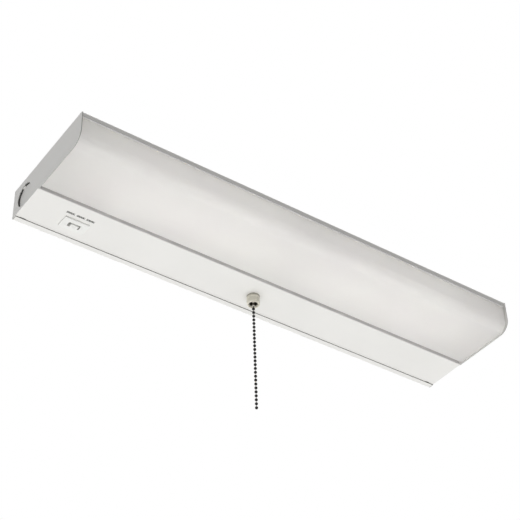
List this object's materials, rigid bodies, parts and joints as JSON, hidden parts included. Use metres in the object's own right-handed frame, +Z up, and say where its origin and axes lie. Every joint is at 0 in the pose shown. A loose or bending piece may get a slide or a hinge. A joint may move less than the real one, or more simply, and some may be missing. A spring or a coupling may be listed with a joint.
{
  "type": "closet light",
  "caption": "Long ceiling light with an opal diffuser, a steel wiring cover, a pull-chain switch and a small slide selector for the colour of the light.",
  "frame": {"origin": "centre of the back pan's ceiling face", "axes": "+X along the fixture away from the selector end, +Y from the diffuser side to the wiring side, +Z up, out of the ceiling face"},
  "size_m": [0.4572, 0.1147, 0.1516],
  "materials": {
    "white_paint": "white baked enamel, satin",
    "opal_acrylic": "opal, satin, lets light through",
    "white_plastic": "white, fine satin",
    "ivory_nylon": "ivory, moulded",
    "zinc_plate": "zinc plated",
    "nickel_plate": "nickel plated, slightly dull",
    "black_nickel": "black nickel plated",
    "spring_steel": "drawn wire",
    "lamp_board": "white solder mask",
    "phosphor": "yellow silicone",
    "driver_plastic": "moulded",
    "circuit_board": "green solder mask",
    "black_plastic": "moulded",
    "terminal_plastic": "moulded",
    "brass": "plain",
    "green_paint": "green dye",
    "rubber": "black",
    "black_insulation": "smooth",
    "white_insulation": "smooth",
    "green_insulation": "smooth",
    "red_insulation": "smooth"
  },
  "bodies": {
    "fixture": {"back_pan": "white_paint", "left_end_plate": "white_paint", "right_end_plate": "white_paint", "wiring_cover": "white_paint", "partition": "white_paint", "diffuser": "opal_acrylic", "selector_bezel": "white_plastic", "bushing_cap": "ivory_nylon", "pull_switch_bushing": "zinc_plate", "bushing_nut": "zinc_plate", "board_screws": "zinc_plate", "driver_screws": "zinc_plate", "block_screw": "zinc_plate", "return_spring": "spring_steel", "led_board_left": "lamp_board", "led_board_right": "lamp_board", "led_chips_left": "phosphor", "led_chips_right": "phosphor", "driver_case": "driver_plastic", "driver_lid": "driver_plastic", "driver_board": "circuit_board", "selector_board": "circuit_board", "driver_components": "black_plastic", "pull_switch_case": "black_plastic", "pull_switch_lid": "black_plastic", "selector_switch_case": "black_plastic", "terminal_block": "terminal_plastic", "board_link": "terminal_plastic", "board_connector": "terminal_plastic", "terminal_screws": "brass", "ground_screw": "green_paint", "lead_grommet": "rubber", "hot_lead": "black_insulation", "switch_lead": "black_insulation", "neutral_lead": "white_insulation", "selector_leads": "white_insulation", "ground_lead": "green_insulation", "led_leads": "red_insulation"},
    "pull": {"pull_plunger": "black_plastic", "chain_inner_beads": "nickel_plate", "chain_inner_links": "nickel_plate"},
    "chain_swivel": {"chain_swivel_bead": "nickel_plate"},
    "chain": {"chain_beads": "black_nickel", "chain_links": "nickel_plate"},
    "selector": {"selector_slider": "white_plastic"}
  },
  "joints": [
    {"name": "chain_pull", "type": "slide", "parent": "fixture", "child": "pull", "axis": [0, 0, -1], "range_m": [0, 0.008], "stiffness_N_per_m": 600, "springref_m": -0.005, "deforming": ["return_spring"]},
    {"name": "chain_swing_x", "type": "hinge", "parent": "pull", "child": "chain_swivel", "pos_m": [0, 0.0331, -0.04105], "axis": [1, 0, 0], "range_deg": [-60, 60]},
    {"name": "chain_swing_y", "type": "hinge", "parent": "chain_swivel", "child": "chain", "pos_m": [0, 0.0331, -0.04105], "axis": [0, 1, 0], "range_deg": [-60, 60]},
    {"name": "selector_slide", "type": "slide", "parent": "fixture", "child": "selector", "axis": [1, 0, 0], "range_m": [-0.002, 0.002]}
  ]
}
